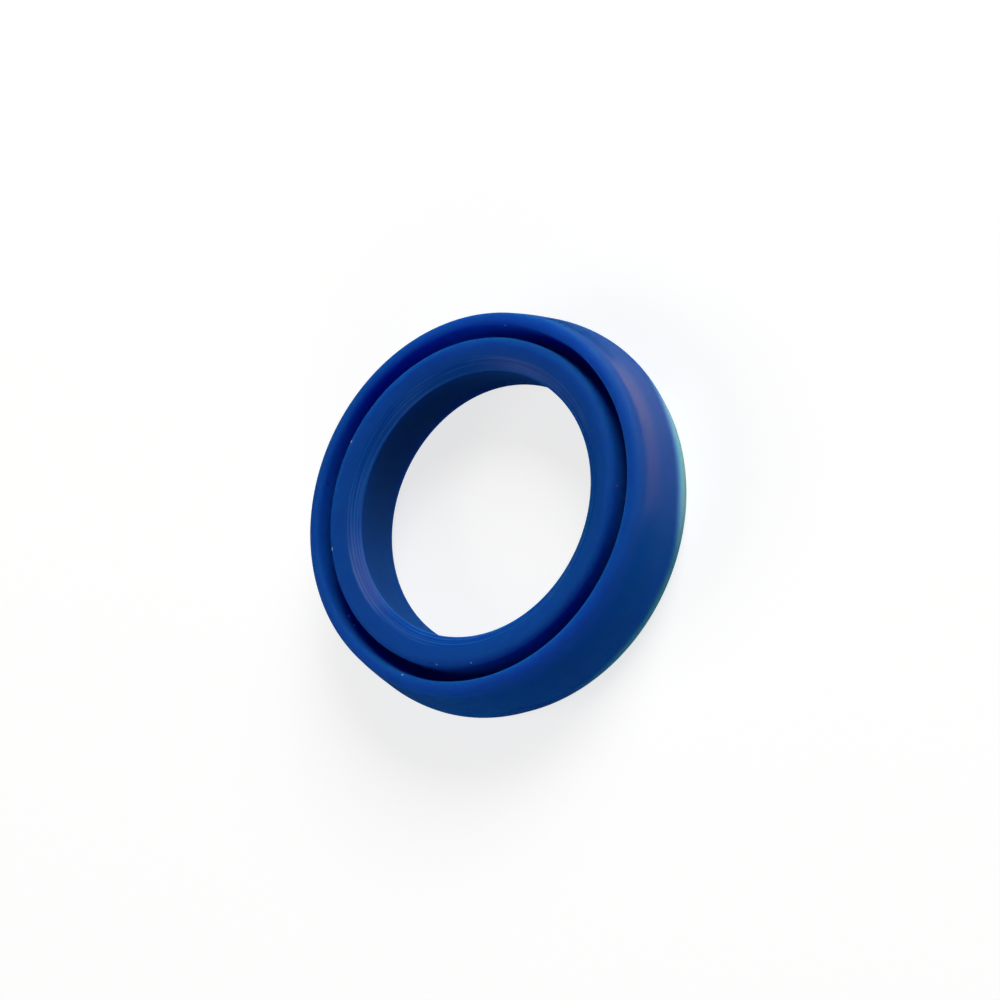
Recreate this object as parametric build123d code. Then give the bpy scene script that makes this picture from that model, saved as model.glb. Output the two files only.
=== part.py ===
from build123d import *
from math import radians, tan
import os

# U-cup rod seal for a 20 mm rod in a 30 mm gland, 6.3 mm high.
#
# The seal is one ring of polyurethane, moulded in one piece. It is modelled in millimetres, lying on its
# heel: the origin is the centre of the heel's flat face and +Z is the seal's axis, towards the lips.
#
# From the outside in, its section has a bevelled heel with a land, a leaning outer wall, a thin outer lip
# that grips the gland, a deep groove that pressure fills to spread the lips, and a thick inner lip. Both
# lips have rounded crests. The inside of the inner lip is trimmed to a bevel after moulding, and the
# bevel's foot is the edge that wipes the rod.

# What the seal fits: a rod through it and a gland round it.
rod_diameter = 20.0
gland_diameter = 30.0
seal_height = 6.3

# Heel: the solid back. Its land is a press fit in the gland and its bore clears the rod. Both of its
# edges are bevelled, the outer one long and shallow, so that it goes into the gland without catching.
heel_gland_interference = 0.075
heel_rod_clearance = 0.02
heel_bevel_height = 1.25
heel_bevel_width = 0.4
heel_land_height = 0.75
heel_bore_chamfer = 1.2

# Outer lip: its wall leans inwards from the land, and more steeply above a soft shoulder. Its tip is
# bevelled up to a broad rounded crest, which stands a little lower than the inner lip's.
wall_lean = 11.5
shoulder_height = 4.6
shoulder_lean = 18.0
shoulder_blend = 3.0
tip_bevel_width = 0.34
tip_bevel_slope = 21.5
outer_crest_width = 0.52
outer_crest_round = 0.55
outer_crest_drop = 0.08

# Groove between the lips: it narrows to a blunt bottom with broken corners.
groove_mouth = 0.945
groove_depth = 3.1
groove_outer_lean = 5.0
groove_inner_lean = 5.0
groove_corner_break = 0.12

# Inner lip: from its crest a moulded front slopes inwards and meets the steeper trimmed bevel, whose foot
# is the sealing edge. Behind that edge the lip is relieved, down to the bore.
inner_crest_width = 0.575
inner_crest_round = 0.55
front_slope = 17.5
bevel_slope = 34.5
sealing_depth = 0.907
lip_interference = 0.08
lip_relief = 1.2


def run(rise, lean):
    """Sideways travel of a line that rises this far and leans this many degrees from upright."""
    return rise * tan(radians(lean))


def drop(width, slope):
    """Fall of a line this wide that slopes this many degrees from level."""
    return width * tan(radians(slope))


def sharp(radius, height):
    """A corner of the section that stays sharp: its place, no softening, and no size for one."""
    return (radius, height), None, 0


def heel_and_wall():
    """Corners from the heel's flat face up the outside to the outer lip's crest."""
    land_radius = gland_diameter / 2 + heel_gland_interference
    land_top = heel_bevel_height + heel_land_height
    shoulder_radius = land_radius - run(shoulder_height - land_top, wall_lean)
    crest_height = seal_height - outer_crest_drop
    tip_height = crest_height - drop(tip_bevel_width, tip_bevel_slope)
    tip_radius = shoulder_radius - run(tip_height - shoulder_height, shoulder_lean)
    return [
        sharp(land_radius - heel_bevel_width, 0),
        sharp(land_radius, heel_bevel_height),
        sharp(land_radius, land_top),
        ((shoulder_radius, shoulder_height), fillet, shoulder_blend),
        sharp(tip_radius, tip_height),
        sharp(tip_radius - tip_bevel_width, crest_height),
    ]


def groove(outer_edge, outer_height):
    """Corners of the groove, which starts at this radius and height on the outer lip's crest."""
    inner_edge = outer_edge - groove_mouth
    floor_height = seal_height - groove_depth
    outer_foot = outer_edge - run(outer_height - floor_height, groove_outer_lean)
    inner_foot = inner_edge + run(groove_depth, groove_inner_lean)
    return [
        ((outer_edge, outer_height), fillet, outer_crest_round),
        ((outer_foot, floor_height), chamfer, groove_corner_break),
        ((inner_foot, floor_height), chamfer, groove_corner_break),
        ((inner_edge, seal_height), fillet, inner_crest_round),
    ]


def lip_and_bore(sealing_edge):
    """Corners of the inner lip's inside and the bore, before the lip is cut to its front and bevel."""
    sealing_radius, sealing_height = sealing_edge
    bore_radius = rod_diameter / 2 + heel_rod_clearance
    return [
        sharp(sealing_radius, seal_height),
        sharp(sealing_radius, sealing_height),
        sharp(bore_radius, sealing_height - lip_relief),
        sharp(bore_radius, heel_bore_chamfer),
        sharp(bore_radius + heel_bore_chamfer, 0),
    ]


def above(point, slope):
    """All that lies above a line which rises outwards through this point of the section's plane."""
    radius, height = point
    far_height = height + drop(gland_diameter - radius, slope)
    corners = [(0, height - drop(radius, slope)), (gland_diameter, far_height), (0, far_height)]
    return make_face(Plane.XZ * Polyline(*corners, close=True))


def section():
    """Half of the seal's section, to the right of its axis."""
    sealing_edge = (rod_diameter / 2 - lip_interference, seal_height - sealing_depth)
    corners = heel_and_wall()
    (crest_radius, crest_height), _, _ = corners[-1]
    corners += groove(crest_radius - outer_crest_width, crest_height)
    (inner_edge, _), _, _ = corners[-1]
    corners += lip_and_bore(sealing_edge)
    face = make_face(Plane.XZ * Polyline(*[place for place, _, _ in corners], close=True))
    for (radius, height), soften, size in corners:
        if soften:
            corner = face.vertices().sort_by_distance(Vector(radius, 0, height))[0]
            face = soften(corner, size)
    inner_crest = (inner_edge - inner_crest_width, seal_height)
    return face - above(inner_crest, front_slope) - above(sealing_edge, bevel_slope)


def u_cup_seal():
    """The whole seal: its section turned once about the axis."""
    return revolve(section(), Axis.Z)


os.makedirs("parts", exist_ok=True)
export_step(u_cup_seal(), "parts/u_cup_seal.step")
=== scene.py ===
import math

import bmesh
import bpy
from mathutils import Matrix, Vector


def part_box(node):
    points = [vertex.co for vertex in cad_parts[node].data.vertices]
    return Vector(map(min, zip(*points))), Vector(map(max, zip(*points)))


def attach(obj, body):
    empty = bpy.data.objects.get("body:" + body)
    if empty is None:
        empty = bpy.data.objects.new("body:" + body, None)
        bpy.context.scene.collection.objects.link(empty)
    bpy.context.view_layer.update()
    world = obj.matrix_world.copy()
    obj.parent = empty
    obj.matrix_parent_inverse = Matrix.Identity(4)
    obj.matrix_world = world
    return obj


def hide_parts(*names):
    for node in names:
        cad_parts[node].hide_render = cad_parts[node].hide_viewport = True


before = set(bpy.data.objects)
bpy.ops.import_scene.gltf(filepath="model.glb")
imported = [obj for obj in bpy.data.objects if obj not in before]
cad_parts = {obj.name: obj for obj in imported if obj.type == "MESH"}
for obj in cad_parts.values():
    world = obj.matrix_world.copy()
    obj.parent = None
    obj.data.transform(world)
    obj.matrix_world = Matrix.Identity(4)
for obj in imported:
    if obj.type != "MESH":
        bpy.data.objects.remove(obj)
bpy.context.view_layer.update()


# The seal: one ring of blue polyurethane, moulded whole. Only the bevel inside the inner lip is cut
# afterwards, on a lathe. It lies loose on its heel. Its section is drawn as corners, the corners are
# rounded as the mould rounds them, and the section is spun about the seal's axis.
mm = 0.001
_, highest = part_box("u_cup_seal")
land_radius = highest.x
seal_height = highest.z
heel_bevel_height = 1.25 * mm
heel_bevel_width = 0.4 * mm
heel_land_height = 0.75 * mm
heel_bore_chamfer = 1.2 * mm
wall_lean = math.tan(math.radians(11.5))
shoulder_height = 4.6 * mm
outer_lip_lean = math.tan(math.radians(15))
outer_lip_width = 0.77 * mm
groove_mouth = 1.06 * mm
groove_floor = seal_height - 3.1 * mm
groove_lean = math.tan(math.radians(5))
inner_crest_width = 0.57 * mm
front_width = 0.82 * mm
front_slope = math.tan(math.radians(17.5))
bevel_slope = math.tan(math.radians(34.5))
sealing_radius = 9.92 * mm
bore_radius = 10.02 * mm
lip_relief = 1.2 * mm
outer_lip_round = 0.34 * mm
inner_lip_round = 0.47 * mm
longest_edge = 0.3 * mm
edge_step = 0.2 * mm

land_top = heel_bevel_height + heel_land_height
shoulder_radius = land_radius - (shoulder_height - land_top) * wall_lean
outer_lip_radius = shoulder_radius - (seal_height - shoulder_height) * outer_lip_lean
outer_edge = outer_lip_radius - outer_lip_width
inner_edge = outer_edge - groove_mouth
inner_crest = inner_edge - inner_crest_width
bevel_radius = inner_crest - front_width
bevel_height = seal_height - front_width * front_slope
sealing_height = bevel_height - (bevel_radius - sealing_radius) * bevel_slope

# Each corner: its radius, its height, and how far along both sides its rounding reaches.
corners = [
    (land_radius - heel_bevel_width, 0.0, 0.10 * mm),
    (land_radius, heel_bevel_height, 0.20 * mm),
    (land_radius, land_top, 0.35 * mm),
    (shoulder_radius, shoulder_height, 0.80 * mm),
    (outer_lip_radius, seal_height, 0.40 * mm),
    (outer_edge, seal_height, outer_lip_round),
    (outer_edge - (seal_height - groove_floor) * groove_lean, groove_floor, 0.20 * mm),
    (inner_edge + (seal_height - groove_floor) * groove_lean, groove_floor, 0.20 * mm),
    (inner_edge, seal_height, inner_lip_round),
    (inner_crest, seal_height, 0.08 * mm),
    (bevel_radius, bevel_height, 0.06 * mm),
    (sealing_radius, sealing_height, 0.04 * mm),
    (bore_radius, sealing_height - lip_relief, 0.30 * mm),
    (bore_radius, heel_bore_chamfer, 0.15 * mm),
    (bore_radius + heel_bore_chamfer, 0.0, 0.10 * mm),
]
shape = bmesh.new()
section = [shape.verts.new((radius, 0, height)) for radius, height, _ in corners]
shape.faces.new(section)
for corner, (_, _, reach) in zip(section, corners):
    bmesh.ops.bevel(shape, geom=[corner], offset=reach, offset_type="OFFSET", segments=8, profile=0.5,
                    affect="VERTICES", material=-1)
bmesh.ops.delete(shape, geom=shape.faces[:], context="FACES_ONLY")
for edge in [edge for edge in shape.edges if edge.calc_length() > longest_edge]:
    bmesh.ops.subdivide_edges(shape, edges=[edge], cuts=int(edge.calc_length() / edge_step))
bmesh.ops.spin(shape, geom=shape.verts[:] + shape.edges[:], cent=(0, 0, 0), axis=(0, 0, 1),
               angle=2 * math.pi, steps=360, use_merge=True)
bmesh.ops.remove_doubles(shape, verts=shape.verts[:], dist=0.001 * mm)
bmesh.ops.recalc_face_normals(shape, faces=shape.faces[:])
for face in shape.faces:
    face.smooth = True
mesh = bpy.data.meshes.new("u_cup_ring")
shape.to_mesh(mesh)
shape.free()
ring = bpy.data.objects.new("u_cup_ring", mesh)
bpy.context.scene.collection.objects.link(ring)


def linear(code):
    """A hex colour code's red, green and blue as linear light, with full alpha."""
    parts = [int(code[i:i + 2], 16) / 255 for i in (1, 3, 5)]
    return [c / 12.92 if c <= 0.04045 else ((c + 0.055) / 1.055) ** 2.4 for c in parts] + [1.0]


# Moulded polyurethane, pigmented blue: mostly matt from the mould, with little gloss. Blue light goes some
# millimetres into it and out again, so thin lips glow where light falls on their other side.
polyurethane = bpy.data.materials.new("moulded_polyurethane")
polyurethane.use_nodes = True
shader = polyurethane.node_tree.nodes["Principled BSDF"]
shader.inputs["IOR"].default_value = 1.5
shader.inputs["Specular IOR Level"].default_value = 0.08
shader.inputs["Subsurface Weight"].default_value = 1.0
shader.inputs["Subsurface Radius"].default_value = (0.03, 0.3, 1.0)
shader.inputs["Subsurface Scale"].default_value = 6 * mm


def node(kind, *inputs, output=None, tree=polyurethane.node_tree, **settings):
    """Adds a shader node with these settings, fills its inputs in order, and gives back one output."""
    made = tree.nodes.new("ShaderNode" + kind)
    for name, value in settings.items():
        setattr(made, name, value)
    for socket, value in zip([socket for socket in made.inputs if socket.enabled], inputs):
        if isinstance(value, bpy.types.NodeSocket):
            tree.links.new(value, socket)
        elif value is not None:
            socket.default_value = value
    outputs = [socket for socket in made.outputs if socket.enabled]
    return made.outputs[output] if output else outputs[0]


# Every pattern goes by where a point lies on the ring: its X and Y, its height, and its distance from the
# axis. A part of the ring is 1 inside and 0 outside, with a soft edge.
smooth = "SMOOTHSTEP"
point = node("TexCoord", output="Object")
point_x = node("SeparateXYZ", point, output="X")
point_y = node("SeparateXYZ", point, output="Y")
height = node("SeparateXYZ", point, output="Z")
radius = node("VectorMath", node("VectorMath", point, (1, 1, 0), operation="MULTIPLY"), operation="LENGTH",
              output="Value")

# The pigment is a little uneven, in clouds some 3 mm wide.
cloud_width = 3 * mm
cloud = node("TexNoise", point, 1 / cloud_width, 2)
colour = node("Mix", cloud, linear("#0D4D9F"), linear("#0F56AC"), data_type="RGBA")

# The bevel is cut on a lathe, so it is smoother than the rest and has fine rings. They are drawn 0.2 mm
# apart so that they show, and fade in and out over some 8 mm. Two cells of noise make one ring. The rings
# are real, but their lighter blue is painted reflection: it stands in for the glint of light in their
# grooves.
bevel_edge_blur = 0.03 * mm
sealing_blur_below = 0.04 * mm
sealing_blur_above = 0.02 * mm
ring_pitch = 0.2 * mm
ring_fade = 8 * mm
ring_shows_from = 0.45
ring_full_from = 0.65
inside_bevel = node("MapRange", radius, bevel_radius + bevel_edge_blur, bevel_radius - bevel_edge_blur, 0, 1,
                    interpolation_type=smooth)
above_sealing = node("MapRange", height, sealing_height - sealing_blur_below,
                     sealing_height + sealing_blur_above, 0, 1, interpolation_type=smooth)
bevel_part = node("Math", inside_bevel, above_sealing, operation="MULTIPLY")
stretched = node("VectorMath", node("CombineXYZ", radius, point_x, point_y),
                 (2 / ring_pitch, 1 / ring_fade, 1 / ring_fade), operation="MULTIPLY")
rings = node("Math", bevel_part, node("TexNoise", stretched, 1, 1), operation="MULTIPLY")
ring_glints = node("MapRange", rings, ring_shows_from, ring_full_from, 0, 1, interpolation_type=smooth)
# Painted reflection: the rings are painted a lighter blue for the glint of light in the cut grooves.
colour = node("Mix", ring_glints, colour, linear("#2F66B4"), data_type="RGBA")

# Painted shade: the bore behind the sealing edge is painted a darker blue, for the shade inside the hole.
bore_shade_ends = 0.3 * mm
bore_shade_full = 0.1 * mm
bore_shade_drop = 0.15 * mm
near_bore = node("MapRange", radius, bore_radius + bore_shade_ends, bore_radius + bore_shade_full, 0, 1,
                 interpolation_type=smooth)
below_sealing = node("MapRange", height, sealing_height, sealing_height - bore_shade_drop, 0, 1,
                     interpolation_type=smooth)
bore_part = node("Math", near_bore, below_sealing, operation="MULTIPLY")
colour = node("Mix", bore_part, colour, linear("#0A3E88"), data_type="RGBA")

# Painted light: the heel's outer edge is painted cyan on one side, a painted glow of light that passes
# through the thin corner. It is palest and widest at 52 degrees clockwise from +X, where that glow is
# brightest, and fades away from there. The cyan goes by how far a point lies from the axis towards that
# side.
cyan_azimuth = math.radians(-52)
cyan_starts = 2 * mm
cyan_full = 8 * mm
pale_starts = 12.8 * mm
pale_full = 15 * mm
pale_rise = 0.65 * mm
cyan_inside = 0.7 * mm
cyan_outside = 0.4 * mm
cyan_top = 1.65 * mm
cyan_solid_top = 0.5 * mm
towards_cyan = node("VectorMath", point, (math.cos(cyan_azimuth), math.sin(cyan_azimuth), 0),
                    operation="DOT_PRODUCT", output="Value")
cyan_side = node("MapRange", towards_cyan, cyan_starts, cyan_full, 0, 1, interpolation_type=smooth)
pale_side = node("MapRange", towards_cyan, pale_starts, pale_full, 0, 1, interpolation_type=smooth)
near_wall = node("MapRange", radius, land_radius - cyan_inside, land_radius - cyan_outside, 0, 1,
                 interpolation_type=smooth)
lowered = node("Math", pale_side, -pale_rise, height, operation="MULTIPLY_ADD")
near_heel = node("MapRange", lowered, cyan_top, cyan_solid_top, 0, 1, interpolation_type=smooth)
heel_glow_part = node("Math", near_wall, near_heel, operation="MULTIPLY")
heel_glow_part = node("Math", heel_glow_part, cyan_side, operation="MULTIPLY")
# Painted glow: pale cyan where the light through the heel's corner is brightest, darker cyan elsewhere.
heel_glow_colour = node("Mix", pale_side, linear("#3A84AC"), linear("#78C2FF"), data_type="RGBA")
colour = node("Mix", heel_glow_part, colour, heel_glow_colour, data_type="RGBA")

# Dust clings to the lips' edges and to the groove's sides: pale lint, one dark crumb and a few dull red
# ones, some 0.2 mm across. A rounded edge's middle lies cut_back of its rounding inside the sharp corner.
cut_back = 1 - math.sqrt(0.5)
inner_lip_edge = (inner_edge - cut_back * inner_lip_round, seal_height - cut_back * inner_lip_round)
outer_lip_edge = (outer_edge + cut_back * outer_lip_round, seal_height - cut_back * outer_lip_round)
shallow = 0.6 * mm
deep = 1.5 * mm
groove_outside = [(outer_edge - depth * groove_lean, seal_height - depth) for depth in (shallow, deep)]
groove_inside = [(inner_edge + depth * groove_lean, seal_height - depth) for depth in (shallow, deep)]
white_lint, grey_lint, dark_crumb, red_crumb = "#D4E2FF", "#9DB4DC", "#1E1020", "#A03060"

# Each speck: where on the section it lies, at which azimuth in degrees, its radius in mm, and its colour.
for (away, up), azimuth, size, tint in [
    (inner_lip_edge, 88, 0.18, white_lint),
    (inner_lip_edge, 128, 0.18, white_lint),
    (inner_lip_edge, -163, 0.08, grey_lint),
    (inner_lip_edge, -149, 0.08, grey_lint),
    (outer_lip_edge, -175, 0.10, grey_lint),
    (groove_outside[0], 104, 0.11, dark_crumb),
    (groove_outside[0], 16, 0.10, grey_lint),
    (groove_outside[1], 150, 0.11, grey_lint),
    (groove_outside[1], 154, 0.11, grey_lint),
    (groove_inside[0], -65, 0.11, red_crumb),
    (groove_inside[1], -68, 0.11, red_crumb),
    (groove_inside[1], -26, 0.09, red_crumb),
]:
    turned = math.radians(azimuth)
    spot = (away * math.cos(turned), away * math.sin(turned), up)
    gap = node("VectorMath", point, spot, operation="DISTANCE", output="Value")
    speck = node("MapRange", gap, size * mm, size * 0.5 * mm, 0, 1, interpolation_type=smooth)
    colour = node("Mix", speck, colour, linear(tint), data_type="RGBA")
polyurethane.node_tree.links.new(colour, shader.inputs["Base Color"])

# The mould's face leaves the lips matt. The outer wall turns satin just above the shoulder and duller again
# below it, the bore is dullest, and the cut bevel is the smoothest.
matt = 0.65
satin = 0.28
cut_smooth = 0.27
wall_added = 0.2
bore_added = 0.35
lip_blur = 0.15 * mm
satin_starts = 5.5 * mm
satin_full = 4.9 * mm
dull_starts = 4.3 * mm
dull_full = 3.2 * mm
outside_lip = node("MapRange", radius, outer_lip_radius, outer_lip_radius + lip_blur, 0, 1,
                   interpolation_type=smooth)
below_lip = node("MapRange", height, satin_starts, satin_full, 0, 1, interpolation_type=smooth)
satin_part = node("Math", outside_lip, below_lip, operation="MULTIPLY")
low_part = node("MapRange", height, dull_starts, dull_full, 0, wall_added, interpolation_type=smooth)
roughness = node("MapRange", satin_part, 0, 1, matt, satin)
roughness = node("Math", roughness, low_part, operation="ADD")
roughness = node("Math", bore_part, bore_added, roughness, operation="MULTIPLY_ADD")
roughness = node("Mix", bevel_part, roughness, cut_smooth, data_type="FLOAT")
polyurethane.node_tree.links.new(roughness, shader.inputs["Roughness"])

# The mould's grain is a few hundredths of a millimetre wide, and is drawn 0.12 mm wide so that it shows.
grain_width = 0.12 * mm
relief_depth = 0.02 * mm
grain_strength = 0.10
ring_strength = 0.60
grain = node("TexNoise", point, 1 / grain_width, 1)
relief = node("Bump", grain_strength, relief_depth, None, grain)
relief = node("Bump", ring_strength, relief_depth, None, rings, relief)
polyurethane.node_tree.links.new(relief, shader.inputs["Normal"])
mesh.materials.append(polyurethane)
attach(ring, "root")
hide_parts("u_cup_seal")


# The floor: a light table's sheet of white acrylic, much larger than the seal, that it lies on. It glows
# softly, and lets the light of the lamps under it through to the seal.
floor_half = 1.5
board = bpy.data.meshes.new("floor")
sheet = bmesh.new()
bmesh.ops.create_grid(sheet, x_segments=1, y_segments=1, size=floor_half)
sheet.to_mesh(board)
sheet.free()
floor = bpy.data.objects.new("floor", board)
bpy.context.scene.collection.objects.link(floor)
floor.visible_diffuse = floor.visible_glossy = floor.visible_shadow = False
acrylic = bpy.data.materials.new("white_acrylic_sheet")
acrylic.use_nodes = True
acrylic_shader = acrylic.node_tree.nodes["Principled BSDF"]
acrylic_shader.inputs["Base Color"].default_value = linear("#B4B4B3")
acrylic_shader.inputs["Roughness"].default_value = 0.9
acrylic_shader.inputs["Specular IOR Level"].default_value = 0.0
acrylic_shader.inputs["Emission Color"].default_value = linear("#FFFFFF")
acrylic_shader.inputs["Emission Strength"].default_value = 0.74
board.materials.append(acrylic)


# The camera: it looks down on the seal's lips at nearly 54 degrees, from almost 200 mm away. It is rolled
# on its side, which makes the ring look tipped up, and aims a little beside the seal's axis.
elevation = math.radians(53.6)
roll = math.radians(-65.9)
aim_height = 6.09 * mm
aside = 2.35 * mm
distance = 197 * mm
turn = Matrix.Rotation(math.pi / 2 - elevation, 3, "X") @ Matrix.Rotation(roll, 3, "Z")
right, _, back = turn.col
standpoint = Vector((0, 0, aim_height)) + right * aside + back * distance
lens = bpy.data.cameras.new("camera")
lens.lens = 98.3
lens.sensor_width = 36
camera = bpy.data.objects.new("camera", lens)
camera.matrix_world = Matrix.Translation(standpoint) @ turn.to_4x4()
bpy.context.scene.collection.objects.link(camera)
bpy.context.scene.camera = camera


# The light: plain soft studio light from six softboxes. The window stands at +X, and its foot and a warm
# strip shine up through the light table. Three weaker ones fill in from other sides. The room behind shows
# pale and adds little light.
room_light = 0.02
room_shows = 0.85
lamp_distance = 0.5
bpy.context.scene.view_settings.view_transform = "Standard"
world = bpy.context.scene.world or bpy.data.worlds.new("world")
bpy.context.scene.world = world
world.use_nodes = True
room = world.node_tree
seen = node("LightPath", output="Is Camera Ray", tree=room)
level = node("MapRange", seen, 0, 1, room_light, room_shows, tree=room)
room.links.new(level, room.nodes["Background"].inputs["Strength"])
room.nodes["Background"].inputs["Color"].default_value = linear("#FCFDFF")


def softbox(name, azimuth, rise, wide, high, watts, tint="#FFFFFF"):
    """A soft light half a metre off, at this azimuth from +X and this rise, that faces the seal."""
    data = bpy.data.lights.new(name, "AREA")
    data.shape = "RECTANGLE"
    data.size, data.size_y = wide, high
    data.energy = watts
    data.color = linear(tint)[:3]
    lamp = bpy.data.objects.new(name, data)
    swing = Matrix.Rotation(math.radians(azimuth), 3, "Z") @ Matrix.Rotation(math.radians(-rise), 3, "Y")
    stand = swing @ Vector((lamp_distance, 0, 0))
    lamp.matrix_world = Matrix.Translation(stand) @ stand.to_track_quat("Z", "Y").to_matrix().to_4x4()
    bpy.context.scene.collection.objects.link(lamp)


softbox("window", 0, 35, 0.30, 0.30, 1.75)
softbox("window_foot", 0, -30, 0.30, 0.30, 0.38)
softbox("warm_strip", -14, -32, 0.90, 0.10, 1.5, "#FFA850")
softbox("window_left", -45, -10, 0.30, 0.30, 0.65)
softbox("fill_front", 225, 10, 0.30, 0.30, 0.72)
softbox("fill_back", 135, 35, 0.30, 0.30, 0.65)
